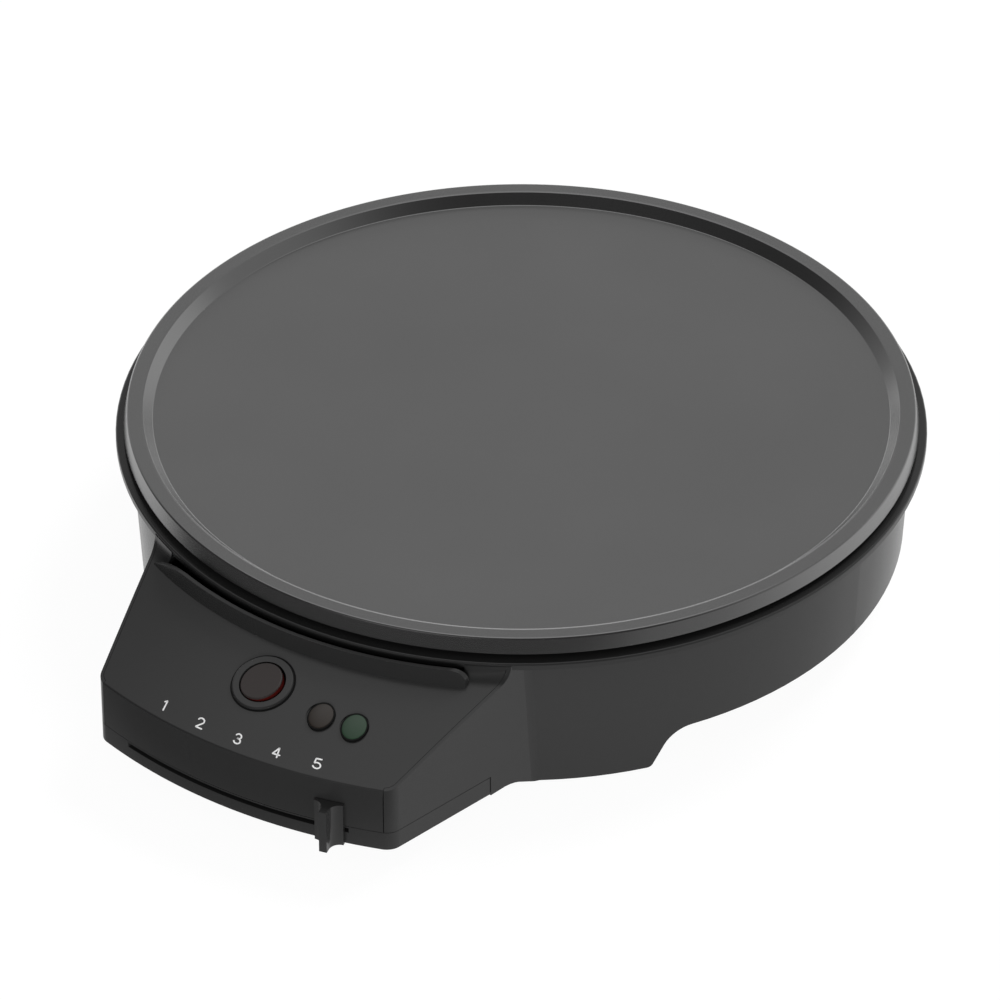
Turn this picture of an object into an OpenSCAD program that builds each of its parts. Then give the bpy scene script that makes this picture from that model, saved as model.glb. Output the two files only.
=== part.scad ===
// Electric crepe maker: round cast plate on a four-legged housing, with a tapered
// control box at the front (-Y). Angles named here run from the front towards +X,
// round the axis of the plate.

/* [Cooking plate] */
// Diameter over the rim of the cooking plate
plate_d = 300; // [290:1:306]
// Width of the flat rim round the cooking surface
rim_w = 6; // [5:0.5:9]
// Depth of the cooking surface below the rim
recess_depth = 4; // [3:0.5:4.5]
// Thickness of the plate under the cooking surface
plate_t = 3.2; // [2.8:0.1:3.4]
// Height of the skirt below the rim
skirt_h = 6.3; // [5.6:0.1:7.4]
// How far the skirt flares out
skirt_flare = 1.4; // [0.8:0.1:2.4]
// Thickness of the rim and its skirt
skirt_t = 2.6; // [2:0.1:3]

/* [Heater] */
// Distance from the plate's edge to the middle of the element's tube
element_inset = 60; // [57:1:70]
// Diameter of the element's tube
tube_d = 7; // [6:0.1:7.4]
// Angle left open between the cold ends
cold_gap = 16; // [12:1:24]
// Thickness of the pressed heat shield
shield_t = 0.8; // [0.6:0.1:1]
// Depth of the shield's floor below its rim
shield_depth = 11.6; // [11.2:0.1:13]

/* [Housing] */
// Height of the feet below the housing
foot_h = 1.3; // [1:0.1:2]
// Height of the arches above the bottom of the legs
arch_rise = 16; // [14.5:0.1:16.6]
// Height of the flange's upper face above the table
flange_top = 61.6; // [60:0.1:66]
// Thickness of the flange
flange_t = 2.6; // [2:0.1:3]
// How far the flange stands out past the plate
flange_reach = 4.5; // [3:0.1:6]
// Setback of the round wall under the flange
flange_lip = 5.5; // [4:0.1:6]
// Inward draft of the round wall in degrees
wall_draft = 3; // [2:0.1:3.4]
// Thickness of the housing's walls
wall_t = 2.5; // [2:0.1:2.8]
// Angle of the front legs from the front
leg_a = 42; // [41.6:0.1:44]
// Width of a leg where it stands
leg_w = 45; // [43:1:47]
// Splay of the leg's edges in degrees
leg_splay = 27.3; // [22:0.1:30]
// Radius where a leg runs into its arch
arch_r = 12.5; // [10:0.5:14]
// Running gap between the plate's skirt and the flange
plate_gap = 2.1; // [1.7:0.1:3]

/* [Control box] */
// How far the box reaches out past the flange
box_reach = 49; // [46:1:52]
// Width of the box at its foremost line
box_w = 123; // [119:1:127]
// Splay of the box's sides in degrees
side_a = 13.3; // [12:0.1:14]
// Radius of the box's upright corners
corner_r = 6.5; // [5:0.5:8]
// Radius where the box runs into the round wall
neck_r = 8; // [6:0.5:9]
// Slope of the control panel in degrees
panel_a = 21.3; // [19:0.1:22]
// Thickness of the control panel
panel_t = 2.4; // [2:0.1:2.8]
// Height of the curb on the panel
curb_h = 7.5; // [6.5:0.1:8]
// Thickness of the curb
curb_t = 1.6; // [1.4:0.1:2]
// Half angle of the curb
curb_a = 24.3; // [23:0.1:25]
// Width of the vent slot behind the curb
vent_w = 3.7; // [3:0.1:4]
// Height of the seam above the table
seam_z = 17.45; // [17.1:0.05:19]
// Height of the tray's band
band_h = 7.65; // [7:0.05:8]
// Thickness of the tray's floor
floor_t = 2.2; // [1.8:0.1:2.4]

/* [Controls] */
// Diameter of the switch's bezel
bezel_d = 23.5; // [22.5:0.1:24.5]
// Diameter of the rocker
rocker_d = 16.4; // [15.4:0.1:16.8]
// Tilt of the rocker to each side in degrees
rocker_tilt = 7; // [5:0.5:8]
// Diameter of the lamp lenses
lens_d = 10.5; // [10:0.1:11]
// Rise of the lamp lenses above the panel
lens_rise = 2; // [1.4:0.1:2.6]
// Swing of the lever to each side in degrees
lever_swing = 11.75; // [10:0.05:12]
// Height of the slot for the lever
slot_h = 2; // [1.8:0.1:2.2]
// Width of the lever's back
lever_w = 11.2; // [10:0.1:12]
// Width of the lever's nose
nose_w = 3; // [2.4:0.1:3.6]
// Height of the lever
lever_h = 18.1; // [16:0.1:20]
// How far the lever stands out from the box
lever_reach = 7.5; // [6.6:0.1:9]
// Diameter of the thermostat's shaft
shaft_d = 6; // [5:0.1:6.4]

/* [Fasteners] */
// Diameter of the small screws
screw_d = 2.9; // [2.6:0.1:3.1]
// Diameter of their heads
head_d = 5.6; // [5.2:0.1:6]
// Height of their heads
head_h = 1.8; // [1.5:0.1:2]
// Diameter of the plate's screws
stud_d = 4; // [3.5:0.1:4.4]
// Diameter of the rubber feet
foot_d = 16; // [13:0.5:18]

/* [Hidden] */
$fn = 96;

// Clearances
seat = 0.3;        // between pieces that lie beside each other
joint_gap = 0.2;   // along the seams of the mouldings
fit = 0.05;        // round screws and the turning shaft
cut = 1;           // cutters run on past a face by this
lap = 0.2;         // fillets run on into what they join by this
ease = 0.05;       // arcs cross the lines that they run into by this

// Plate and heater
plate_r = plate_d / 2;
recess_r = plate_r - rim_w;
skirt_z = flange_top + plate_gap;
plate_top = skirt_z + skirt_h;
cook_z = plate_top - recess_depth;
under_z = cook_z - plate_t;
channel_h = tube_d + 0.5;
channel_t = 2.6;
channel_z = under_z - channel_h;
element_r = plate_r - element_inset;
element_z = channel_z + joint_gap + tube_d / 2;
clamp_r = element_r - tube_d / 2 - channel_t - 5.5;
clamp_t = 1.2;
clamp_angles = [45, 135, 225, 315];
stud_angles = [60, 180, 300];
boss_drop = 8.8;
shield_z = flange_top - shield_depth + shield_t;
insulator_h = 12;

// Housing
flange_r = plate_r + flange_reach;
flange_z = flange_top - flange_t;
leg_z = foot_h;
arch_z = leg_z + arch_rise;
heel_r = 2.5;
top_r = flange_r - flange_lip;
deck_r = top_r - 15;
stud_r = deck_r - 21;
cover_t = 1.8;
cover_z = arch_z + seat;
cover_top = cover_z + cover_t;
leg_in_r = top_r - 27;
leg_half = leg_w / 2 / wall_r(leg_z) * 180 / PI;
arch_run = 0.4 + arch_r * tan((90 - leg_splay) / 2) + arch_rise * tan(leg_splay);
run_a = arch_run / wall_r(leg_z) * 180 / PI;
front_leg = [leg_a - leg_half - 1.5, leg_a + leg_half + run_a];
rear_leg = [180 - front_leg[1], 180 - leg_a + leg_half + run_a];
post_r = top_r - 11;
post_d = 8;
post_angles = [-90, -28, 28, 90, 158, 202];
block_y = post_r - 30;
foot_r = leg_in_r + 12;
foot_depth = 1.5;
gland_z = 34;
gland_d = 12;

// Control box
box_r = flange_r + box_reach;
curb_r = flange_r + vent_w + curb_t;
panel_z = flange_top - seat - curb_h;
panel_v = panel_t / cos(panel_a);
lip_t = 1.2;
front_a = 17.5;
curb_left = 27.2;
curb_skew = 35;
curb_fall = 36;
curb_round = 5;
fillet_r = 7;
edge_r = 0.8;
side_d = (box_w / 2 + box_r * tan(side_a)) * cos(side_a);
tray_back = top_r - 4.5;
tray_break = box_r - 9.7;
tray_fall = 1.9;
band_z = seam_z - band_h;
rear_z = band_z - tray_fall - 0.7;
notch_w = 0.6;
knee_r = 19;
knee_a = 28;
toe_r = 8;
tray_posts = [[box_w / 2 - 9.5, -(box_r - 19.5)], [box_w / 2 + 1.5, -(box_r - 51.5)]];
pillar_top = seam_z - 2;
recess_z = band_z + 1.8;

// Controls
switch_r = curb_r + 15.5;
switch_a = -0.9;
bezel_h = 1.1;
spot = 0.4;
barrel_d = bezel_d - 3.3;
barrel_h = 12;
well_d = rocker_d + 1.3;
pivot_drop = 2.2;
pin_d = 2;
power_r = curb_r + 20.2;
power_a = 7.75;
ready_r = curb_r + 21.1;
ready_a = 12.1;
barrel_gap = 0.2;
lens_neck = lens_d - 2;
slot_z = seam_z - 0.65 - slot_h;
lever_in = box_r + 0.4;
lever_out = box_r + 0.4 + lever_reach;
lever_z = band_z + 0.1;
stem_w = 9;
stem_z = slot_z + seat;
stem_t = slot_h - 2 * seat;
stem_in = box_r - 19.5;
slot_a = lever_swing + (stem_w / 2 + 2.5) / box_r * 180 / PI;
arm_t = 1.2;
arm_w = 8;
arm_z = stem_z + stem_t;
arm_high = cover_top + 1.8;
arm_screw_r = box_r - 14.5;
hub_d = 14;
hub_h = 6;
shaft_r = shaft_d / 2;

// Thermostat
bracket_t = 1.2;
bracket_z = under_z - 5.8 - bracket_t;
bracket_x = 17;
stat_h = 18;
stat_z = bracket_z - stat_h;
bush_h = 5;
shaft_end = arm_high - 0.8;

// The model's origin is under the middle of its outline, on the table
nose_y = lever_out * cos(lever_swing) + nose_w / 2 * sin(lever_swing);
axis_y = (nose_y - flange_r) / 2;

// Radius of the drafted wall at height z
function wall_r(z) = top_r - (flange_z - z) * tan(wall_draft);
// Height of the panel's surface at radius r
function panel_h(r) = panel_z - (r - curb_r) * tan(panel_a);
// Half width of the box at y, inset by i
function half_w(y, i) = box_w / 2 + (y + box_r) * tan(side_a) - i / cos(side_a);
// Unit vector at angle a
function ray(a) = [cos(a), sin(a)];
// Point at radius r and angle a from the front
function polar(r, a) = [r * sin(a), -r * cos(a)];

// Helpers
module placed() {
  translate([0, axis_y, 0]) children();
}

// Both sides of the middle plane
module twice() {
  children();
  mirror([1, 0, 0]) children();
}

// Profile swept round the axis between two angles from the front
module sweep(a, b) {
  rotate([0, 0, a - 90]) rotate_extrude(angle = b - a) children();
}

// What a radius takes off, or fills in, where two edges leave a corner; it laps
// over both edges a little
module corner(x, y, a1, a2, r) {
  turn = ((a2 - a1 + 540) % 360) - 180;
  half = abs(turn) / 2;
  mid = a1 + turn / 2;
  t = r / tan(half);
  d = r / sin(half);
  side = turn > 0 ? 90 : -90;
  p = [x, y];
  centre = p + d * ray(mid);
  difference() {
    polygon([p - lap / sin(half) * ray(mid), p + t * ray(a1) - lap * ray(a1 + side),
      p + t * ray(a1), p + t * ray(a2), p + t * ray(a2) - lap * ray(a2 - side)]);
    translate(centre) circle(r = r);
  }
}

// Frame on the sloping panel: z leaves the surface, y points up the slope
module on_panel(r, a) {
  rotate([0, 0, a]) translate([0, -r, panel_h(r)]) rotate([panel_a, 0, 0]) children();
}

// Screw with its head below z and its shank standing up
module screw_up(d, hd, hh, shank) {
  translate([0, 0, -hh]) cylinder(d = hd, h = hh);
  translate([0, 0, -hh]) cylinder(d = d, h = hh + shank);
}

// Cooking plate
module plate_profile() {
  difference() {
    polygon([[0, under_z], [recess_r - 4, under_z], [plate_r - skirt_t, skirt_z + skirt_t],
      [plate_r + skirt_flare - skirt_t, skirt_z], [plate_r + skirt_flare, skirt_z],
      [plate_r, plate_top], [recess_r, plate_top], [recess_r - 2.2, cook_z], [0, cook_z]]);
    corner(plate_r, plate_top, 180, -78, 0.6);
  }
  corner(recess_r - 2.2, cook_z, 180, atan(recess_depth / 2.2), 2.4);
}

module cooking_plate() {
  color("#5f5f60") placed() difference() {
    union() {
      rotate_extrude($fn = 240) plate_profile();
      for (s = [-1, 1])
        rotate_extrude() translate([element_r + s * (tube_d / 2 + seat + channel_t / 2), 0])
          translate([-channel_t / 2, channel_z]) square([channel_t, channel_h + 0.1]);
      for (a = clamp_angles)
        translate(concat(polar(clamp_r, a), [channel_z])) cylinder(d = 9, h = channel_h + 0.1);
      for (a = stud_angles)
        translate(concat(polar(stud_r, a), [under_z - boss_drop]))
          cylinder(d = 12, h = boss_drop + 0.1);
      for (s = [-1, 1])
        translate([s * bracket_x, 0, bracket_z + bracket_t])
          cylinder(d = 9, h = under_z - bracket_z - bracket_t + 0.1);
    }
    for (a = clamp_angles)
      translate(concat(polar(clamp_r, a), [channel_z - cut]))
        cylinder(d = screw_d + 2 * fit, h = 6 + cut);
    for (a = stud_angles)
      translate(concat(polar(stud_r, a), [under_z - boss_drop - cut]))
        cylinder(d = stud_d + 2 * fit, h = 8 + cut);
    for (s = [-1, 1])
      translate([s * bracket_x, 0, bracket_z]) cylinder(d = screw_d + 2 * fit, h = 6);
  }
}

// Tubular element: a ring whose cold ends turn down through the shield
module heating_element() {
  color("#77716b") placed() {
    sweep(180 + cold_gap / 2, 540 - cold_gap / 2)
      translate([element_r, element_z]) circle(d = tube_d);
    for (a = [180 - cold_gap / 2, 180 + cold_gap / 2])
      translate(concat(polar(element_r, a), [0])) {
        translate([0, 0, element_z]) sphere(d = tube_d);
        translate([0, 0, shield_z - 9]) cylinder(d = tube_d, h = element_z - shield_z + 9);
        translate([0, 0, shield_z - 17]) cylinder(d = 3, h = 9);
      }
  }
}

module element_insulators() {
  color("#d8d3c6") placed()
    for (a = [180 - cold_gap / 2, 180 + cold_gap / 2])
      translate(concat(polar(element_r, a), [shield_z])) difference() {
        union() {
          cylinder(d = tube_d + 8, h = 2);
          translate([0, 0, 2 - insulator_h / 2 - 2]) cylinder(d = tube_d + 4.4, h = insulator_h / 2 + 2);
        }
        translate([0, 0, -insulator_h]) cylinder(d = tube_d + 2 * seat, h = 2 * insulator_h);
      }
}

// Straps that hold the element up in its channel
module element_clamps() {
  color("#a7a9ab") placed() for (a = clamp_angles)
    rotate([0, 0, a]) translate([0, 0, channel_z - clamp_t]) difference() {
      translate([-5, -(element_r + tube_d / 2 + channel_t), 0])
        cube([10, element_r + tube_d / 2 + channel_t - clamp_r + 4, clamp_t]);
      translate([0, -clamp_r, -cut]) cylinder(d = screw_d + 4 * fit, h = clamp_t + 2 * cut);
    }
}

module clamp_screws() {
  color("#c4c6c8") placed() for (a = clamp_angles)
    translate(concat(polar(clamp_r, a), [channel_z - clamp_t]))
      screw_up(screw_d, head_d, head_h, clamp_t + 5);
}

// Pressed dish between the plate and the housing
module heat_shield() {
  color("#b4b6b8") placed() difference() {
    rotate_extrude() {
      translate([deck_r - 4, flange_top]) square([top_r - 3 - deck_r, shield_t]);
      translate([deck_r - 4, shield_z - shield_t])
        square([shield_t, flange_top - shield_z + 2 * shield_t]);
      translate([32, shield_z - shield_t]) square([deck_r - 35.5, shield_t]);
      translate([32, shield_z - shield_t]) square([shield_t, 3]);
    }
    for (a = stud_angles)
      translate(concat(polar(stud_r, a), [shield_z - 2])) cylinder(d = stud_d + 4 * fit, h = 4);
    for (a = [180 - cold_gap / 2, 180 + cold_gap / 2])
      translate(concat(polar(element_r, a), [shield_z - 2]))
        cylinder(d = tube_d + 5, h = 4);
    for (a = [50, 130, 230, 310])
      translate(concat(polar(deck_r + 4, a), [flange_top - cut]))
        cylinder(d = screw_d + 2 * fit, h = shield_t + 2 * cut);
    translate(concat(polar(element_r - 20, 180), [shield_z - 2]))
      cylinder(d = screw_d + 2 * fit, h = 4);
  }
}

module plate_spacers() {
  color("#b4b6b8") placed() for (a = stud_angles)
    translate(concat(polar(stud_r, a), [shield_z])) difference() {
      cylinder(d = 9, h = under_z - boss_drop - shield_z);
      translate([0, 0, -cut]) cylinder(d = stud_d + 4 * fit, h = boss_drop + 2 * cut);
    }
}

module plate_screws() {
  color("#c4c6c8") placed() for (a = stud_angles)
    translate(concat(polar(stud_r, a), [shield_z - shield_t]))
      screw_up(stud_d, 8, 2.4, under_z - boss_drop - shield_z + shield_t + 7);
}

// Four hold the dish to the deck, one holds the fuse's clip to the dish
module shield_screws() {
  color("#c4c6c8") placed() {
    for (a = [50, 130, 230, 310])
      translate(concat(polar(deck_r + 4, a), [flange_z]))
        screw_up(screw_d, head_d, head_h, flange_t + shield_t);
    translate(concat(polar(element_r - 20, 180), [shield_z - 2 * shield_t]))
      screw_up(screw_d, head_d, head_h, 2 * shield_t + 1.4);
  }
}

// Outline of the box seen from above, inset by i
module box_plan(i) {
  rc = corner_r - i;
  arc = box_r - i;
  d = side_d - i - rc;
  out = [cos(side_a), -sin(side_a)];
  along = [sin(side_a), cos(side_a)];
  centre = out * d - along * sqrt(pow(arc - rc, 2) - d * d);
  on_line = centre + out * rc;
  on_arc = centre * arc / (arc - rc);
  bulge = (on_line + on_arc) / 2 - centre;
  difference() {
    intersection() {
      circle(r = arc, $fn = 360);
      polygon([[half_w(-box_r - 9, i), -box_r - 9], [half_w(-100, i), -100],
        [-half_w(-100, i), -100], [-half_w(-box_r - 9, i), -box_r - 9]]);
    }
    twice() difference() {
      polygon([on_line, centre + bulge * (2.4 * rc / norm(bulge)), on_arc, centre]);
      translate(centre) circle(r = rc);
    }
  }
}

// Region under the panel's skin, dropped by d, with the run-up to the flange
module under_skin(d) {
  x = flange_r + seat;
  run = fillet_r * tan((90 - panel_a) / 2);
  centre = [x + fillet_r, panel_h(x) + run];
  foot = centre - fillet_r * ray(90 - panel_a);
  translate([0, -d]) difference() {
    polygon([[top_r - 20, 0], [box_r + 9, 0], [box_r + 9, panel_h(box_r + 9)],
      foot, [x, centre[1]], [top_r - 20, centre[1]]]);
    translate(centre) circle(r = fillet_r);
  }
}

// Fillet where a side of the box runs into the drafted round wall
module neck_fillet() {
  reach = wall_r(30) + neck_r - 0.1;
  d = side_d + neck_r - 0.1;
  t = sqrt(reach * reach - d * d);
  out = [cos(side_a), -sin(side_a)];
  along = [sin(side_a), cos(side_a)];
  centre = out * d - along * t;
  on_line = centre - out * neck_r;
  on_wall = centre * (1 - neck_r / reach);
  lean = atan(tan(wall_draft) * reach / t);
  in_r = wall_r(30) - 2;
  inner = out * (side_d - 1) - along * sqrt(in_r * in_r - pow(side_d - 1, 2));
  translate([centre[0], centre[1], 30]) rotate(a = lean, v = [out[0], out[1], 0])
    translate([-centre[0], -centre[1], -32]) linear_extrude(height = 64) difference() {
      polygon([on_line, centre, on_wall, on_wall * 0.987, inner, on_line - out * 1]);
      translate(centre) circle(r = neck_r);
    }
}

// Cutter for one end of an arch: the leg lies towards +x
module arch_end() {
  centre = [0.4, arch_z - arch_r];
  touch = centre + arch_r * ray(leg_splay);
  foot = touch + (touch[1] + 5) / cos(leg_splay) * ray(leg_splay - 90);
  translate([0, -(leg_in_r - 12), 0]) rotate([90, 0, 0]) linear_extrude(height = 60) {
    polygon([[-cut, -5], [-cut, arch_z], [centre[0], arch_z], touch, foot]);
    translate(centre) circle(r = arch_r);
    corner(touch[0] + (touch[1] - leg_z) * tan(leg_splay), leg_z, 90 + leg_splay, 0, heel_r);
  }
}

module arch(a, b) {
  sweep(a, b) translate([leg_in_r - 12, -5]) square([60, arch_z + 5]);
  rotate([0, 0, a]) mirror([1, 0, 0]) arch_end();
  rotate([0, 0, b]) arch_end();
}

// Hollow leg, open upwards inside the housing
module leg(a, b, p, q) {
  difference() {
    sweep(a, b) polygon([[leg_in_r, leg_z], [wall_r(leg_z) - 1, leg_z],
      [wall_r(cover_top) - 1, cover_top], [leg_in_r, cover_top]]);
    sweep(p, q) translate([leg_in_r + wall_t, leg_z + foot_depth + wall_t - 0.6])
      square([wall_r(leg_z) - 2 * wall_t - leg_in_r, 40]);
  }
}

module box_walls() {
  difference() {
    union() {
      intersection() {
        linear_extrude(height = flange_top - cut) difference() {
          box_plan(0);
          box_plan(lip_t);
          circle(r = top_r - 4);
        }
        rotate_extrude() under_skin(0);
      }
      intersection() {
        linear_extrude(height = flange_z + 0.5) difference() {
          box_plan(0.4);
          box_plan(wall_t);
          circle(r = top_r - 4.5);
        }
        rotate_extrude() difference() {
          under_skin(panel_v + joint_gap);
          translate([0, panel_h(curb_r) - panel_v - joint_gap]) square([curb_r + 1, 40]);
        }
      }
      twice() intersection() {
        translate([tray_posts[1][0], tray_posts[1][1], pillar_top]) {
          cylinder(d = post_d, h = 26);
          translate([0, -wall_t / 2, 0]) cube([10, wall_t, 26]);
        }
        linear_extrude(height = flange_z) box_plan(1);
      }
      intersection() {
        linear_extrude(height = 20) difference() {
          box_plan(0);
          circle(r = top_r - 4);
        }
        lower_edge(wall_t);
      }
    }
    // open front between the corners
    sweep(-front_a, front_a) translate([box_r - 12, 0]) square([20, 80]);
    // what the tray takes
    rotate([90, 0, 90]) linear_extrude(height = 300, center = true)
      polygon([[-box_r - 9, -9], [-box_r - 9, seam_z + joint_gap],
        [-tray_break, seam_z + joint_gap],
        [-tray_back + notch_w, seam_z - tray_fall + joint_gap],
        [-tray_back + notch_w, -9]]);
    twice() translate([tray_posts[1][0], tray_posts[1][1], pillar_top - cut])
      cylinder(d = screw_d + 2 * fit, h = 12);
  }
}

// What lies under the edge that sweeps down from the tray to the leg, raised by up
module lower_edge(up) {
  knee = [-tray_back + 6.5, rear_z - knee_r];
  bend = knee + (knee_r - ease) * ray(90 - knee_a);
  toe_z = leg_z + toe_r - 0.15;
  land_z = toe_z - toe_r * cos(knee_a);
  land = [bend[0] + (bend[1] - land_z) / tan(knee_a), land_z];
  toe = [land[0] + toe_r * sin(knee_a), toe_z];
  rotate([90, 0, 90]) linear_extrude(height = 300, center = true) translate([0, up])
    difference() {
      union() {
        polygon([[-tray_back - 9, -9], [-tray_back - 9, rear_z - ease],
          [knee[0], rear_z - ease], bend, land, [toe[0], toe_z - toe_r], [toe[0], -9]]);
        translate(knee) circle(r = knee_r);
      }
      translate(toe) circle(r = toe_r + ease);
    }
}

module main_housing() {
  color("#5b5b5c") placed() difference() {
    union() {
      rotate_extrude($fn = 240) difference() {
        polygon([[wall_r(leg_z) - wall_t, leg_z], [wall_r(leg_z), leg_z],
          [top_r, flange_z], [flange_r, flange_z], [flange_r, flange_top],
          [deck_r, flange_top], [deck_r, flange_z], [top_r - wall_t, flange_z]]);
        corner(flange_r, flange_top, 180, -90, edge_r);
      }
      box_walls();
      twice() difference() {
        neck_fillet();
        translate([0, 0, leg_z - 40]) cube([400, 400, 80], center = true);
        translate([0, 0, flange_top - cut]) cylinder(r = 200, h = 20);
      }
      twice() {
        leg(front_leg[0], front_leg[1], leg_a - leg_half + 1.2, leg_a + leg_half - 1.2);
        leg(rear_leg[0], rear_leg[1], 181.2 - leg_a - leg_half, 178.8 - leg_a + leg_half);
      }
      for (a = post_angles) rotate([0, 0, a]) translate([0, -post_r, cover_top]) {
        cylinder(d = post_d, h = flange_z - cover_top + 0.1);
        translate([-wall_t / 2, -9, 0]) cube([wall_t, 9, flange_z - cover_top + 0.1]);
      }
    }
    twice() arch(front_leg[1], rear_leg[0]);
    arch(rear_leg[1], 360 - rear_leg[1]);
    // way into the control box
    sweep(-24, 24) translate([top_r - 9, cover_top]) square([12, 31]);
    lower_edge(0);
    for (a = post_angles)
      translate(concat(polar(post_r, a), [cover_top - cut]))
        cylinder(d = screw_d + 2 * fit, h = 12);
    for (a = [50, 130, 230, 310])
      translate(concat(polar(deck_r + 4, a), [flange_z - cut]))
        cylinder(d = screw_d + 2 * fit, h = flange_t + 2 * cut);
    twice() for (a = [leg_a, 180 - leg_a])
      translate(concat(polar(foot_r, a), [leg_z - cut]))
        cylinder(d = foot_d + 2 * joint_gap, h = foot_depth + cut);
    translate([0, top_r + 9, gland_z]) rotate([90, 0, 0]) cylinder(d = gland_d + 0.6, h = 24);
  }
}

// Sloping top of the box with its curb, vent slot, openings and front face
module panel_shell() {
  intersection() {
    sweep(-40, 40) difference() {
      polygon([[curb_r - curb_t, panel_h(curb_r - curb_t)], [box_r, panel_h(box_r)],
        [box_r, panel_h(box_r) - panel_v],
        [curb_r - curb_t, panel_h(curb_r - curb_t) - panel_v]]);
      corner(box_r, panel_h(box_r), 180 - panel_a, -90, edge_r);
    }
    linear_extrude(height = 80) union() {
      box_plan(lip_t + 0.15);
      intersection() {
        circle(r = box_r, $fn = 360);
        polygon([[0, 0], 1.2 * polar(box_r, -front_a + 0.05), [0, -1.2 * box_r],
          1.2 * polar(box_r, front_a - 0.05)]);
      }
    }
  }
  // front face
  sweep(-front_a + 0.09, front_a - 0.09) difference() {
    translate([box_r - panel_t, seam_z + joint_gap])
      square([panel_t, panel_h(box_r) - seam_z - joint_gap]);
    corner(box_r, panel_h(box_r), 180 - panel_a, -90, edge_r);
  }
  // run-up to the flange past the ends of the vent slot
  for (end = [[0, curb_a - 0.35], [1, curb_left - 1.8]]) mirror([end[0], 0, 0]) intersection() {
    sweep(end[1], 40) difference() {
      intersection() {
        under_skin(0);
        translate([flange_r + seat, panel_h(curb_r) - panel_v]) square([12, 20]);
      }
      under_skin(panel_v + 2);
    }
    linear_extrude(height = 80) box_plan(lip_t + 0.15);
  }
}

module curb() {
  difference() {
    sweep(-curb_left, curb_a + 0.6) translate([curb_r - curb_t, panel_z - 1])
      square([curb_t, curb_h + 1]);
    curb_end(curb_a, curb_skew, curb_round);
    mirror([1, 0, 0]) curb_end(curb_left, 0, curb_fall);
  }
}

// Cutter that rounds the top of the curb down to its end at angle a, with radius r,
// along a line that stands askew by the given angle
module curb_end(a, askew, r) {
  fall = min(r, curb_h - seat);
  reach = sqrt(2 * r * fall - fall * fall);
  top = panel_z + curb_h;
  rotate([0, 0, a]) translate([0, -curb_r, 0]) rotate([90, 0, -askew]) translate([0, 0, -5])
    linear_extrude(height = 9) difference() {
      translate([-reach, panel_z - 2]) square([reach + 4, curb_h + 2 + cut]);
      polygon([[-reach - 1, panel_z - 3], [0, panel_z - 3], [0, top - fall], [-reach, top],
        [-reach - 1, top]]);
      translate([-reach, top - r]) circle(r = r);
    }
}

module control_panel() {
  color("#565657") placed() difference() {
    union() {
      panel_shell();
      curb();
      // posts for the tray's front screws
      twice() intersection() {
        translate([tray_posts[0][0], tray_posts[0][1], pillar_top]) cylinder(d = post_d, h = 40);
        rotate_extrude() under_skin(panel_v / 2);
      }
      // tongues that hook under the flange
      twice() sweep(25.2, 29.2) translate([top_r + 0.6, flange_z - 2.4])
        square([flange_lip - 0.1, 2]);
    }
    on_panel(switch_r, switch_a) {
      translate([0, 0, -9]) cylinder(d = barrel_d + 2 * seat, h = 18);
      translate([0, 0, -spot]) cylinder(d = bezel_d + 2 * barrel_gap, h = 9);
    }
    for (p = [[power_r, power_a], [ready_r, ready_a]]) on_panel(p[0], p[1]) {
      translate([0, 0, -9]) cylinder(d = lens_neck + 2 * barrel_gap, h = 18);
      translate([0, 0, -spot]) cylinder(d = lens_d + 2 * seat, h = 9);
    }
    twice() translate([tray_posts[0][0], tray_posts[0][1], pillar_top - cut])
      cylinder(d = screw_d + 2 * fit, h = 12);
  }
}

// Floor and lower band of the box, with the arc slot for the lever
module tray_body(i, up) {
  intersection() {
    linear_extrude(height = 30) box_plan(i);
    rotate([90, 0, 90]) linear_extrude(height = 300, center = true)
      translate([0, up]) polygon([[-box_r - 9, band_z], [-tray_break, band_z],
        [-tray_back, band_z - tray_fall], [-tray_back, seam_z - tray_fall],
        [-tray_break, seam_z], [-box_r - 9, seam_z]]);
  }
}

module control_tray() {
  color("#616162") placed() difference() {
    union() {
      difference() {
        tray_body(0, 0);
        difference() {
          tray_body(wall_t, floor_t);
          translate([-200, -tray_back - 4.7, -9]) cube([400, 60, 60]);
        }
        translate([0, 0, -9]) cylinder(r = wall_r(cover_top) + joint_gap, h = 60);
        sweep(-slot_a, slot_a) translate([box_r - 6, slot_z]) square([12, slot_h]);
      }
      twice() for (p = tray_posts) intersection() {
        translate([p[0], p[1], 0]) cylinder(d = post_d + 1, h = pillar_top);
        tray_body(1, 0);
      }
    }
    twice() for (p = tray_posts) translate([p[0], p[1], -cut]) {
      cylinder(d = screw_d + 4 * fit, h = 40);
      cylinder(d = head_d + 2 * seat, h = recess_z + cut);
    }
  }
}

module tray_screws() {
  color("#8d8f91") placed() twice() for (p = tray_posts)
    translate([p[0], p[1], recess_z])
      screw_up(screw_d, head_d, head_h - 0.2, pillar_top - recess_z + 9);
}

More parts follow.
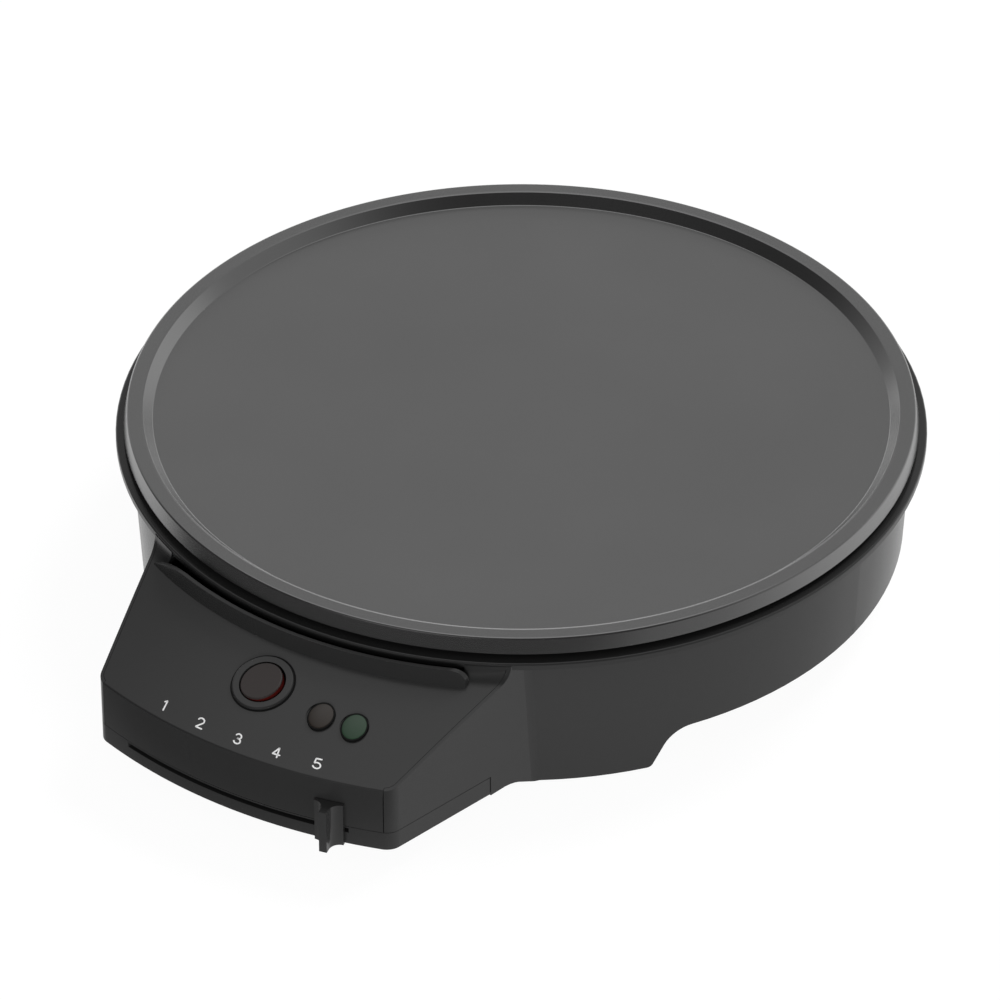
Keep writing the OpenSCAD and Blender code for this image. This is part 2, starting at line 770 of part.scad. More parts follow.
// Flat cover inside the legs, with rings of louvre slots
module base_cover() {
  color("#4b4b4c") placed() difference() {
    union() {
      translate([0, 0, cover_z]) cylinder(r = wall_r(arch_z) - wall_t - 0.4, h = cover_t);
      rotate_extrude() translate([leg_in_r - 6, cover_z - 2]) square([1.6, 3]);
    }
    twice() {
      sweep(front_leg[0] - 0.4, front_leg[1] + 0.4) translate([leg_in_r - seat, cover_z - cut])
        square([40, 9]);
      sweep(rear_leg[0] - 0.4, rear_leg[1] + 0.4) translate([leg_in_r - seat, cover_z - cut])
        square([40, 9]);
    }
    for (ring = [[44, 6], [60, 8], [76, 10]])
      for (k = [0:ring[1] - 1])
        sweep(k * 360 / ring[1], k * 360 / ring[1] + 0.62 * 360 / ring[1])
          translate([ring[0], cover_z - cut]) square([3, 9]);
    for (a = post_angles)
      translate(concat(polar(post_r, a), [cover_z - cut]))
        cylinder(d = screw_d + 4 * fit, h = cover_t + 2 * cut);
    for (s = [-1, 1]) translate([13 * s, block_y, cover_z - cut])
      cylinder(d = screw_d + 2 * fit, h = cover_t + 2 * cut);
  }
}

module base_screws() {
  color("#8d8f91") placed() for (a = post_angles)
    translate(concat(polar(post_r, a), [cover_z]))
      screw_up(screw_d, head_d, head_h, cover_t + 9);
}

module rubber_feet() {
  color("#2e2e2f") placed() twice() for (a = [leg_a, 180 - leg_a])
    translate(concat(polar(foot_r, a), [0])) {
      cylinder(d1 = foot_d - 1.2, d2 = foot_d, h = foot_h / 2);
      translate([0, 0, foot_h / 2]) cylinder(d = foot_d, h = foot_h / 2 + foot_depth - 0.1);
    }
}

// Round rocker switch
module switch_bezel() {
  color("#4d4d4e") placed() on_panel(switch_r, switch_a) difference() {
    rotate_extrude() difference() {
      polygon([[0, -barrel_h], [barrel_d / 2, -barrel_h], [barrel_d / 2, -spot],
        [bezel_d / 2, -spot], [bezel_d / 2, bezel_h], [well_d / 2, bezel_h],
        [well_d / 2, 2.4 - barrel_h], [0, 2.4 - barrel_h]]);
      corner(bezel_d / 2, bezel_h, 180, -90, 0.7);
    }
    translate([0, 0, -pivot_drop]) rotate([90, 0, 0])
      cylinder(d = pin_d + 2 * fit, h = bezel_d * 2, center = true);
    for (x = [-6, 0, 6])
      translate([x - 0.5, -2.5, -barrel_h - cut]) cube([1, 5, 9]);
  }
}

module switch_rocker() {
  color("#6e3a3a") placed() on_panel(switch_r, switch_a)
    translate([0, 0, -pivot_drop]) rotate([0, -rocker_tilt, 0]) {
      rotate_extrude() difference() {
        translate([0, -2.2]) square([rocker_d / 2, pivot_drop + bezel_h + 0.6 + 2.2]);
        corner(rocker_d / 2, pivot_drop + bezel_h + 0.6, 180, -90, 0.5);
      }
      rotate([90, 0, 0]) cylinder(d = pin_d, h = barrel_d - 1, center = true);
      translate([0, 0, -4.4]) cylinder(d = 3, h = 3);
    }
}

module switch_terminals() {
  color("#c9b06a") placed() on_panel(switch_r, switch_a) for (x = [-6, 0, 6])
    translate([x - 0.4, -2.4, -barrel_h - 8]) cube([0.8, 4.8, 9.6]);
}

// Indicator lamps
module lens_body() {
  rotate_extrude() {
    difference() {
      translate([0, -spot]) square([lens_d / 2, lens_rise + spot]);
      corner(lens_d / 2, lens_rise, 180, -90, 1.2);
    }
    translate([0, -8]) square([lens_neck / 2, 8]);
  }
}

module power_lens() {
  color("#5a4a44") placed() on_panel(power_r, power_a) lens_body();
}

module ready_lens() {
  color("#4f5f50") placed() on_panel(ready_r, ready_a) lens_body();
}

module at_lamps() {
  for (p = [[power_r, power_a], [ready_r, ready_a]]) on_panel(p[0], p[1]) children();
}

module lamp_sockets() {
  color("#d9d6cc") placed() at_lamps() difference() {
    translate([0, 0, -17]) cylinder(d = lens_neck + 2.6, h = 17 - panel_t - 0.5);
    translate([0, 0, -15.4]) cylinder(d = lens_neck + 2 * barrel_gap, h = 20);
  }
}

module neon_lamps() {
  color("#d8a27a") placed() at_lamps() translate([0, 0, -15.2]) {
    cylinder(d = 5, h = 3.6);
    translate([0, 0, 3.6]) sphere(d = 5);
  }
}

// Lever, arm and shaft turn together
module at_lever() {
  rotate([0, 0, lever_swing]) children();
}

module temperature_lever() {
  color("#58585a") placed() at_lever() difference() {
    union() {
      translate([0, 0, lever_z]) linear_extrude(height = lever_h) difference() {
        union() {
          translate([-lever_w / 2, -lever_in - 1.3]) square([lever_w, 2.3]);
          translate([-nose_w / 2, -lever_out]) square([nose_w, lever_reach]);
          for (s = [0, 1]) mirror([s, 0])
            corner(nose_w / 2, -lever_in - 1.3, 0, -90, (lever_w - nose_w) / 2 - 0.1);
        }
        circle(r = lever_in, $fn = 720);
      }
      translate([-stem_w / 2, -lever_in - 1, stem_z])
        cube([stem_w, lever_in + 1 - stem_in, stem_t]);
    }
    translate([0, -arm_screw_r, stem_z - cut]) cylinder(d = screw_d + 2 * fit, h = 9);
  }
}

module lever_arm() {
  color("#a9abad") placed() at_lever() difference() {
    union() {
      rotate([90, 0, -90]) translate([0, 0, -arm_w / 2]) linear_extrude(height = arm_w)
        polygon([[0, arm_high], [top_r - 1, arm_high], [top_r + 9, arm_z],
          [box_r - 8.5, arm_z], [box_r - 8.5, arm_z + arm_t],
          [top_r + 9.5, arm_z + arm_t], [top_r - 0.5, arm_high + arm_t],
          [0, arm_high + arm_t]]);
      translate([0, 0, arm_high]) cylinder(d = hub_d, h = hub_h);
    }
    difference() {
      translate([0, 0, arm_high - cut]) cylinder(r = shaft_r + fit, h = hub_h + 2 * cut);
      translate([-9, shaft_r - 0.8 + fit, 0]) cube([18, 9, 99]);
    }
    translate([0, -arm_screw_r, arm_z - cut]) cylinder(d = screw_d + 4 * fit, h = 9);
  }
}

module arm_screw() {
  color("#c4c6c8") placed() at_lever()
    translate([0, -arm_screw_r, arm_z + arm_t]) mirror([0, 0, 1])
      screw_up(screw_d, head_d, head_h, arm_t + stem_t);
}

module thermostat_shaft() {
  color("#b9b4a4") placed() at_lever() difference() {
    translate([0, 0, shaft_end]) cylinder(r = shaft_r, h = stat_z + 12 - shaft_end);
    translate([-9, shaft_r - 0.8, shaft_end - cut]) cube([18, 9, hub_h + 2 + cut]);
  }
}

// Thermostat hung on a bracket under the middle of the plate
module thermostat_plate() {
  color("#a7a9ab") placed() difference() {
    translate([-bracket_x - 6, -8, bracket_z]) cube([2 * bracket_x + 12, 16, bracket_t]);
    for (s = [-1, 1]) translate([s * bracket_x, 0, bracket_z - cut])
      cylinder(d = screw_d + 4 * fit, h = bracket_t + 2 * cut);
  }
}

module thermostat_screws() {
  color("#c4c6c8") placed() for (s = [-1, 1])
    translate([s * bracket_x, 0, bracket_z])
      screw_up(screw_d, head_d, head_h, bracket_t + 4.4);
}

module thermostat_body() {
  color("#d8d3c6") placed() difference() {
    union() {
      translate([-9, -7, stat_z]) cube([18, 14, stat_h]);
      for (z = [3.5, 8.5]) translate([-9, 7, stat_z + z]) cube([4.8, 9, 0.8]);
      translate([0, 0, stat_z - bush_h]) cylinder(d = shaft_d + 4, h = bush_h + 1);
    }
    translate([0, 0, stat_z - bush_h - cut])
      cylinder(r = shaft_r + fit, h = bush_h + cut + 12 + seat);
  }
}

// One-shot fuse in a clip under the shield
module thermal_fuse() {
  color("#cfcabd") placed()
    translate([0, element_r - 28, shield_z - shield_t - 2.8]) rotate([0, 90, 0]) {
      cylinder(d = 4, h = 20, center = true);
      cylinder(d = 1, h = 40, center = true);
    }
}

module fuse_clip() {
  color("#a7a9ab") placed() translate([0, element_r - 28, shield_z - shield_t]) difference() {
    union() {
      translate([-4, 0, -2.8]) rotate([0, 90, 0]) cylinder(r = 2.8, h = 8);
      translate([-4, 0, -shield_t]) cube([8, 13, shield_t]);
    }
    translate([-5, 0, -2.8]) rotate([0, 90, 0]) cylinder(r = 2 + fit, h = 10);
    translate([0, 8, -3]) cylinder(d = screw_d + 2 * fit, h = 6);
  }
}

module terminal_block() {
  color("#e2dfd6") placed() translate([0, block_y, cover_top]) difference() {
    translate([-19, -8, 0]) cube([38, 16, 13]);
    for (x = [-13, 13]) translate([x, 0, -cut]) {
      cylinder(d = screw_d + 4 * fit, h = 20);
      translate([0, 0, 8]) cylinder(d = head_d + 1, h = 20);
    }
    for (x = [-6, 0, 6]) translate([x, 0, 5]) {
      rotate([90, 0, 0]) cylinder(d = 3.4, h = 20, center = true);
      cylinder(d = 3.2, h = 20);
    }
  }
}

module block_screws() {
  color("#c4c6c8") placed() translate([0, block_y, cover_top]) {
    for (x = [-13, 13]) translate([x, 0, 8 - cut]) mirror([0, 0, 1])
      translate([0, 0, -cut]) screw_up(screw_d, head_d, head_h, 8 + cover_t);
    for (x = [-6, 0, 6]) translate([x, 0, 7.5]) cylinder(d = 3, h = 4);
  }
}

// Inlet bush through the rear wall, with the nut inside
module cord_gland() {
  color("#3a3a3b") placed() translate([0, wall_r(gland_z + 8) + 0.1, gland_z])
    rotate([-90, 0, 0]) difference() {
      union() {
        cylinder(d = gland_d + 4, h = 2.4);
        translate([0, 0, 2.4]) cylinder(d1 = gland_d + 4, d2 = gland_d, h = 1.6);
        translate([0, 0, -10]) cylinder(d = gland_d, h = 11);
      }
      translate([0, 0, -19]) cylinder(d = 7.4, h = 40);
    }
}

module gland_nut() {
  color("#c9c5ba") placed() translate([0, wall_r(gland_z - 9) - wall_t - 4.4, gland_z])
    rotate([-90, 0, 0]) difference() {
      cylinder(d = gland_d + 6, h = 4, $fn = 6);
      translate([0, 0, -cut]) cylinder(d = gland_d + 2 * fit, h = 9);
    }
}

cooking_plate();
heating_element();
element_insulators();
element_clamps();
clamp_screws();
heat_shield();
plate_spacers();
plate_screws();
shield_screws();
main_housing();
control_panel();
control_tray();
tray_screws();
base_cover();
base_screws();
rubber_feet();
switch_bezel();
switch_rocker();
switch_terminals();
power_lens();
ready_lens();
lamp_sockets();
neon_lamps();
temperature_lever();
lever_arm();
arm_screw();
thermostat_plate();
thermostat_screws();
thermostat_body();
thermostat_shaft();
thermal_fuse();
fuse_clip();
terminal_block();
block_screws();
cord_gland();
gland_nut();
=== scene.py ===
import bpy
import bmesh
import numpy as np
from math import atan, atan2, cos, pi, radians, sin, tan
from mathutils import Euler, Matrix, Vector


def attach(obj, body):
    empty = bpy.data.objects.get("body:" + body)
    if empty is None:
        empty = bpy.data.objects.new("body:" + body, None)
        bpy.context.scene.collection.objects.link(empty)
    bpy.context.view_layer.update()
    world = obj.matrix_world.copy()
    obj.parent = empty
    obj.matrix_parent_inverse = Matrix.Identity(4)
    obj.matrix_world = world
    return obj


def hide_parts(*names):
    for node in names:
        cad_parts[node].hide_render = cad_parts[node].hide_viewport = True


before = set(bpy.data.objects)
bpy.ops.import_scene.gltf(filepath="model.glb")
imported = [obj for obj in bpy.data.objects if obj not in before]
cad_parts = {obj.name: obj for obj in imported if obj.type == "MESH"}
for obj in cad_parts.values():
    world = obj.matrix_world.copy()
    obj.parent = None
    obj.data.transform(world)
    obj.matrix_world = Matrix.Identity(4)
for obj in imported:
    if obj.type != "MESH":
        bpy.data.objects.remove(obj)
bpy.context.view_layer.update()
print("frame loaded:", len(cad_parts), "nodes")

# Axis of the plate and the heights that the pieces share, in metres. An edge that turns by
# more than sharpTurn is shaded sharp.
maker = {"axisY": 0.026388, "plateTop": 0.070, "curbRadius": 0.1598, "panelTop": 0.0538,
         "panelSlope": radians(21.3), "millimetre": 0.001, "sharpTurn": radians(30)}


# ---- camera ----
# It stands on a sphere round the top of the plate and looks a little below it.
view = {"turn": radians(31.64), "height": radians(35.156), "distance": 2.6625,
        "lens": 252.0, "sensor": 36.0, "aimBelow": atan(99.38 / 7000.0), "shiftX": -0.0214,
        "clipNear": 0.1, "clipFar": 60.0}


def placeCamera(look):
    # away from the plate: (sin turn cos height, -cos turn cos height, sin height)
    away = Vector((sin(look["turn"]) * cos(look["height"]),
                   -cos(look["turn"]) * cos(look["height"]), sin(look["height"])))
    data = bpy.data.cameras.new("photoCamera")
    data.lens, data.sensor_width = look["lens"], look["sensor"]
    data.shift_x = look["shiftX"]
    data.clip_start, data.clip_end = look["clipNear"], look["clipFar"]
    camera = bpy.data.objects.new("photoCamera", data)
    camera.location = Vector((0, maker["axisY"], maker["plateTop"])) + away * look["distance"]
    camera.rotation_euler = Euler((pi / 2 - look["height"] - look["aimBelow"], 0, look["turn"]))
    bpy.context.collection.objects.link(camera)
    bpy.context.scene.camera = camera


placeCamera(view)
bpy.context.scene.view_settings.view_transform = "Standard"
print("camera placed")


# ---- places on the panel ----
def onPanel(points, radius, angle):
    # x across, y up the slope, z off the surface; turned down by the slope, then round the axis
    slope, turn = maker["panelSlope"], radians(angle)
    x, y, z = np.moveaxis(np.asarray(points, float), -1, 0)
    out = radius - y * cos(slope) + z * sin(slope)
    height = maker["panelTop"] - (radius - maker["curbRadius"]) * tan(slope)
    height = height + y * sin(slope) + z * cos(slope)
    return np.stack([x * cos(turn) + out * sin(turn),
                     maker["axisY"] + x * sin(turn) - out * cos(turn), height], -1)


# ---- nodes for materials ----
def newTree(name):
    # a new material and its empty node tree
    material = bpy.data.materials.new(name)
    material.use_nodes = True
    material.node_tree.nodes.clear()
    return material, material.node_tree


def feed(tree, socket, value):
    # another node's output is linked, and any other value is set
    if isinstance(value, bpy.types.NodeSocket):
        tree.links.new(value, socket)
    else:
        socket.default_value = value


def put(tree, kind, setup=None, **inputs):
    # a node of the given kind, with its inputs fed by name
    made = tree.nodes.new(kind)
    for key, value in (setup or {}).items():
        setattr(made, key, value)
    for key, value in inputs.items():
        feed(tree, made.inputs[key.replace("_", " ")], value)
    return made


def worked(tree, kind, operation, *values):
    # a node for arithmetic, whose inputs take the values in turn
    made = put(tree, kind, {"operation": operation})
    for socket, value in zip(made.inputs, values):
        feed(tree, socket, value)
    return made


def along(tree, place, direction):
    # how far the place lies in a direction: their dot product
    made = worked(tree, "ShaderNodeVectorMath", "DOT_PRODUCT", place, direction)
    return made.outputs["Value"]


def ranged(tree, value, low, high, start=0.0, end=1.0, way="SMOOTHSTEP"):
    # low to high becomes start to end, evenly or with soft ends, and is held beyond them
    made = put(tree, "ShaderNodeMapRange", {"interpolation_type": way}, Value=value)
    for key, number in zip(("From Min", "From Max", "To Min", "To Max"), (low, high, start, end)):
        made.inputs[key].default_value = number
    return made.outputs["Result"]


def mixedNumber(tree, factor, first, second):
    # first + factor * (second - first)
    made = put(tree, "ShaderNodeMix", {"data_type": "FLOAT"}, Factor=factor, A=first, B=second)
    return made.outputs["Result"]


def mixedColour(tree, factor, first, second):
    # a mix node keeps its two colours in sockets 6 and 7, and gives the colour at output 2
    made = put(tree, "ShaderNodeMix", {"data_type": "RGBA"}, Factor=factor)
    feed(tree, made.inputs[6], first)
    feed(tree, made.inputs[7], second)
    return made.outputs[2]


def mixedShader(tree, factor, first, second):
    # sockets 1 and 2 of a mix shader take its two shaders
    made = put(tree, "ShaderNodeMixShader", Fac=factor)
    feed(tree, made.inputs[1], first)
    feed(tree, made.inputs[2], second)
    return made.outputs[0]


def grey(level, warm=0.0):
    # a warm grey has that share more red and less blue
    return (level * (1 + warm), level, level * (1 - warm), 1.0)


# The fine grain's size comes from each finish. Roughness follows the drift from driftLow to
# driftHigh. Parting is half the width in metres of the edge between two colours.
mould = {"fineDetail": 3.0, "fineRoughness": 0.6, "slowScale": 14.0, "slowDetail": 4.0,
         "slowRoughness": 0.55, "driftLow": 0.3, "driftHigh": 0.7, "parting": 0.0001}


def grainGroup():
    # fine moulded grain plus slow, faint unevenness; both read the place in the object
    group = bpy.data.node_groups.new("mouldedGrain", "ShaderNodeTree")
    group.interface.new_socket("Grain Size", in_out="INPUT", socket_type="NodeSocketFloat")
    group.interface.new_socket("Height", in_out="OUTPUT", socket_type="NodeSocketFloat")
    group.interface.new_socket("Drift", in_out="OUTPUT", socket_type="NodeSocketFloat")
    inside = put(group, "NodeGroupInput")
    place = put(group, "ShaderNodeTexCoord").outputs["Object"]
    per = worked(group, "ShaderNodeMath", "DIVIDE", 1.0, inside.outputs["Grain Size"])
    fine = put(group, "ShaderNodeTexNoise", Vector=place, Scale=per.outputs[0],
               Detail=mould["fineDetail"], Roughness=mould["fineRoughness"])
    slow = put(group, "ShaderNodeTexNoise", Vector=place, Scale=mould["slowScale"],
               Detail=mould["slowDetail"], Roughness=mould["slowRoughness"])
    outside = put(group, "NodeGroupOutput")
    group.links.new(fine.outputs["Fac"], outside.inputs["Height"])
    group.links.new(slow.outputs["Fac"], outside.inputs["Drift"])
    return group


grain = grainGroup()


# What a finish is where its own entry says nothing else; lift is the grain's height
plain = {"grain": 0.0005, "bump": 0.2, "lift": 0.00006, "metal": 0.0, "ior": 1.45,
         "specular": 0.5, "below": None}


def finish(name, own):
    # colour and roughness drift between two values, and the grain lifts the surface
    look = {**plain, **own}
    material, tree = newTree(name)
    effect = put(tree, "ShaderNodeGroup", {"node_tree": grain}, Grain_Size=look["grain"])
    drift = effect.outputs["Drift"]
    shown = mixedColour(tree, drift, look["dark"], look["light"])
    if look["below"]:
        shown = splitColour(tree, shown, *look["below"])
    rough = ranged(tree, drift, mould["driftLow"], mould["driftHigh"], *look["rough"], "LINEAR")
    bump = put(tree, "ShaderNodeBump", Height=effect.outputs["Height"],
               Strength=look["bump"], Distance=look["lift"])
    shader = put(tree, "ShaderNodeBsdfPrincipled", Base_Color=shown, Roughness=rough,
                 Metallic=look["metal"], Normal=bump.outputs["Normal"], IOR=look["ior"],
                 Specular_IOR_Level=look["specular"])
    put(tree, "ShaderNodeOutputMaterial", Surface=shader.outputs["BSDF"])
    return material


def splitColour(tree, above, point, axis, below):
    # the colour changes at a plane: dot(place - point, axis) is negative below it
    place = put(tree, "ShaderNodeTexCoord").outputs["Object"]
    away = worked(tree, "ShaderNodeVectorMath", "SUBTRACT", place, point)
    height = along(tree, away.outputs[0], axis)
    mask = ranged(tree, height, -mould["parting"], mould["parting"], way="LINEAR")
    return mixedColour(tree, mask, below, above)


# Top of the rocker's cap, and the way that its tilted axis points. Lengths in metres.
rocker = {"radius": 0.1753, "angle": -0.9, "tilt": radians(7), "pivot": 0.0022, "high": 0.0039,
          "edge": 0.00060}
tilted = np.array([-sin(rocker["tilt"]), 0.0, cos(rocker["tilt"])])
rockerFoot, rockerTop = onPanel([(0, 0, -rocker["pivot"]) + tilted * high for high in
                                 (0.0, rocker["high"] - rocker["edge"])],
                                rocker["radius"], rocker["angle"])
rockerAxis = Vector(rockerTop - rockerFoot).normalized()

looks = {
    "nonStickCoat": {"dark": grey(0.014), "light": grey(0.016), "rough": (0.20, 0.24),
                     "grain": 0.0004, "bump": 0.08, "ior": 2.6},
    "housingPlastic": {"dark": grey(0.019), "light": grey(0.021), "rough": (0.16, 0.20),
                       "grain": 0.0006, "bump": 0.05},
    "panelPlastic": {"dark": grey(0.019), "light": grey(0.021), "rough": (0.20, 0.24),
                     "bump": 0.06},
    "leverPlastic": {"dark": grey(0.027), "light": grey(0.030), "rough": (0.18, 0.22),
                     "bump": 0.05},
    "coverPlastic": {"dark": grey(0.020), "light": grey(0.027), "rough": (0.45, 0.55),
                     "grain": 0.0007, "bump": 0.3},
    "switchPlastic": {"dark": grey(0.019), "light": grey(0.022), "rough": (0.20, 0.24),
                      "grain": 0.0006, "bump": 0.05},
    "rockerRed": {"dark": (0.026, 0.021, 0.020, 1), "light": (0.030, 0.024, 0.023, 1),
                  "rough": (0.20, 0.24), "grain": 0.0006, "bump": 0.04,
                  "below": (rockerTop, rockerAxis, (0.050, 0.005, 0.004, 1))},
    "smokedRed": {"dark": (0.016, 0.012, 0.009, 1), "light": (0.019, 0.014, 0.011, 1),
                  "rough": (0.12, 0.16), "grain": 0.0008, "bump": 0.03},
    "smokedGreen": {"dark": (0.013, 0.031, 0.017, 1), "light": (0.017, 0.042, 0.022, 1),
                    "rough": (0.10, 0.14), "grain": 0.0008, "bump": 0.03},
    "socketPlastic": {"dark": grey(0.55, 0.05), "light": grey(0.62, 0.05), "rough": (0.5, 0.6)},
    "ceramic": {"dark": grey(0.60, 0.04), "light": grey(0.68, 0.04), "rough": (0.65, 0.8)},
    "sheetSteel": {"dark": grey(0.42), "light": grey(0.52), "rough": (0.28, 0.4), "metal": 1.0,
                   "grain": 0.0006, "bump": 0.1},
    "screwSteel": {"dark": grey(0.5), "light": grey(0.6), "rough": (0.22, 0.32), "metal": 1.0,
                   "grain": 0.0004, "bump": 0.1},
    "sheathSteel": {"dark": (0.14, 0.12, 0.11, 1), "light": (0.22, 0.19, 0.17, 1),
                    "rough": (0.45, 0.6), "metal": 1.0},
    "aluminised": {"dark": grey(0.6), "light": grey(0.7), "rough": (0.3, 0.45), "metal": 1.0},
    "brass": {"dark": (0.55, 0.38, 0.14, 1), "light": (0.65, 0.47, 0.2, 1),
              "rough": (0.3, 0.4), "metal": 1.0},
    # near black, painted shade: the lens collars and the ring round the switch wear it
    "paintedShadeBlack": {"dark": grey(0.004), "light": grey(0.006), "rough": (0.35, 0.45),
                   "grain": 0.0006, "bump": 0.05, "specular": 0.1},
    "scalePrint": {"dark": grey(0.76), "light": grey(0.82), "rough": (0.45, 0.5), "grain": 0.0003,
                   "bump": 0.1},
    "blackRubber": {"dark": grey(0.012), "light": grey(0.018), "rough": (0.7, 0.85),
                    "grain": 0.0008, "bump": 0.35},
    "lampGlass": {"dark": (0.55, 0.35, 0.22, 1), "light": (0.65, 0.42, 0.28, 1),
                  "rough": (0.05, 0.1)},
}
finishes = {name: finish(name, look) for name, look in looks.items()}

nodeFinish = {
    "cooking_plate": "nonStickCoat", "heating_element": "sheathSteel",
    "element_insulators": "ceramic", "element_clamps": "sheetSteel", "clamp_screws": "screwSteel",
    "heat_shield": "aluminised", "plate_spacers": "sheetSteel", "plate_screws": "screwSteel",
    "shield_screws": "screwSteel", "main_housing": "housingPlastic",
    "control_panel": "panelPlastic", "control_tray": "housingPlastic",
    "tray_screws": "screwSteel", "base_cover": "coverPlastic", "base_screws": "screwSteel",
    "rubber_feet": "blackRubber", "switch_bezel": "switchPlastic", "switch_rocker": "rockerRed",
    "switch_terminals": "brass", "power_lens": "smokedRed", "ready_lens": "smokedGreen",
    "lamp_sockets": "socketPlastic", "neon_lamps": "lampGlass",
    "temperature_lever": "leverPlastic", "lever_arm": "sheetSteel", "arm_screw": "screwSteel",
    "thermostat_plate": "sheetSteel", "thermostat_screws": "screwSteel",
    "thermostat_body": "ceramic", "thermostat_shaft": "screwSteel", "thermal_fuse": "ceramic",
    "fuse_clip": "sheetSteel", "terminal_block": "socketPlastic", "block_screws": "brass",
    "cord_gland": "blackRubber", "gland_nut": "socketPlastic",
}


def dress(node, finishName):
    # the node keeps its mesh and gets one finish
    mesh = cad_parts[node].data
    mesh.materials.clear()
    mesh.materials.append(finishes[finishName])


for node, finishName in nodeFinish.items():
    dress(node, finishName)
print("materials:", len(finishes))


# ---- shapes ----
def surfaceMesh(name, grid, material):
    # grid[i, j] is a point; j runs round a closed ring, and the first and last rings are poles
    rings, steps = grid.shape[:2]
    points = np.vstack([grid[0, :1], grid[1:-1].reshape(-1, 3), grid[-1, :1]])
    i, j = np.meshgrid(np.arange(rings - 3), np.arange(steps), indexing="ij")
    a = 1 + i * steps + j
    b = 1 + i * steps + (j + 1) % steps
    quads = np.stack([a, b, b + steps, a + steps], -1).reshape(-1, 4)
    ring, last = np.arange(steps), 1 + (rings - 3) * steps
    near = (ring + 1) % steps
    first = np.stack([np.zeros_like(ring), 1 + near, 1 + ring], -1)
    final = np.stack([np.full_like(ring, len(points) - 1), last + ring, last + near], -1)
    mesh = bpy.data.meshes.new(name)
    mesh.from_pydata(points.tolist(), [], first.tolist() + quads.tolist() + final.tolist())
    return shaded(mesh, material)


def ringMesh(grid, material):
    # a ring of any section: both directions of the grid close on themselves
    rings, steps = grid.shape[:2]
    i, j = np.meshgrid(np.arange(rings), np.arange(steps), indexing="ij")
    after, beyond = (i + 1) % rings, (j + 1) % steps
    quads = np.stack([i * steps + j, i * steps + beyond, after * steps + beyond,
                      after * steps + j], -1).reshape(-1, 4)
    mesh = bpy.data.meshes.new("rib")
    mesh.from_pydata(grid.reshape(-1, 3).tolist(), [], quads.tolist())
    return shaded(mesh, material)


def shaded(mesh, material):
    # smooth, apart from edges that turn by more than the shared angle
    mesh.shade_smooth()
    mesh.set_sharp_from_angle(angle=maker["sharpTurn"])
    mesh.materials.append(material)
    return mesh


def lathe(profile, steps):
    # point(s, t) = (r(s) cos t, r(s) sin t, z(s)), counted so that faces point outwards
    # when the profile runs from the bottom of the axis, round the outside, to its top
    turn = np.linspace(0, 2 * pi, steps, endpoint=False)
    r, z = profile[:, 0, None], profile[:, 1, None]
    return np.stack([r * np.cos(turn), r * np.sin(turn), z + 0 * turn], -1)


def arc(centre, radius, start, end, count=7):
    # centre + radius (cos a, sin a), with a running from start to end in degrees
    a = np.radians(np.linspace(start, end, count))
    return np.stack([centre[0] + radius * np.cos(a), centre[1] + radius * np.sin(a)], -1)


def backed(profile, reach=0.05, longRun=0.4):
    # adds a point close to each end of every long straight run, so that flats shade flat;
    # a run's first added point sorts at its start + 1/3, and its second at its start + 2/3
    sides = np.diff(profile, axis=0)
    length = np.hypot(sides[:, 0], sides[:, 1])
    chosen = length > longRun
    unit = sides[chosen] / length[chosen, None]
    starts = np.flatnonzero(chosen)
    order = np.concatenate([np.arange(len(profile)), starts + 1 / 3, starts + 2 / 3])
    points = np.vstack([profile, profile[:-1][chosen] + unit * reach,
                        profile[1:][chosen] - unit * reach])
    return points[np.argsort(order, kind="stable")]


def addPiece(name, mesh, body, slotName, *nodes):
    # an object at the origin that rides on a body and stands for the nodes named last
    piece = bpy.data.objects.new(name, mesh)
    bpy.context.collection.objects.link(piece)
    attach(piece, body)
    if nodes:
        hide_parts(*nodes)


def joinMeshes(name, meshes):
    # one mesh from several, in the order given
    build = bmesh.new()
    for mesh in meshes:
        build.from_mesh(mesh)
    whole = bpy.data.meshes.new(name)
    build.to_mesh(whole)
    build.free()
    for material in meshes[0].materials:
        whole.materials.append(material)
    return whole


# ---- cooking plate ----
# Lathed in one pass: heated disc, recess with its fillet and chamfer, flat rim, flared skirt.
# Bosses and two ribs hang under it, sunk a little into it. Lengths in millimetres, z above
# the table.
plate = {"floorZ": 66.0, "rimZ": 70.0, "recessFoot": 140.2, "recessTop": 144.0, "fillet": 0.6,
         "innerEdge": 0.3, "chamferDrop": 0.15, "chamferTilt": radians(10), "chamferEdge": 1.5,
         "rimRadius": 150.0, "outerEdge": 0.9, "skirtRadius": 151.4, "skirtZ": 63.7,
         "skirtThick": 2.6, "skirtEdge": 0.2, "skirtFillet": 1.0, "underZ": 62.8,
         "underReach": 140.0, "underEdge": 0.5, "steps": 360, "sunk": 0.2,
         "elementRadius": 90.0, "ribOffset": 5.1, "ribThick": 2.6, "ribZ": 55.3, "ribSteps": 240,
         "bossEdge": 0.3, "bossSteps": 48}

# Where each kind of boss stands: how far out and at which angles; its radius, its bore's
# radius and depth, and the height of its foot
bosses = [{"out": 78.4, "angles": (45, 135, 225, 315), "radius": 4.5, "bore": 1.5, "deep": 6.0,
           "foot": 55.3},
          {"out": 113.0, "angles": (60, 180, 300), "radius": 6.0, "bore": 2.05, "deep": 8.0,
           "foot": 54.0},
          {"out": 17.0, "angles": (90, 270), "radius": 4.5, "bore": 1.5, "deep": 6.0,
           "foot": 57.0}]


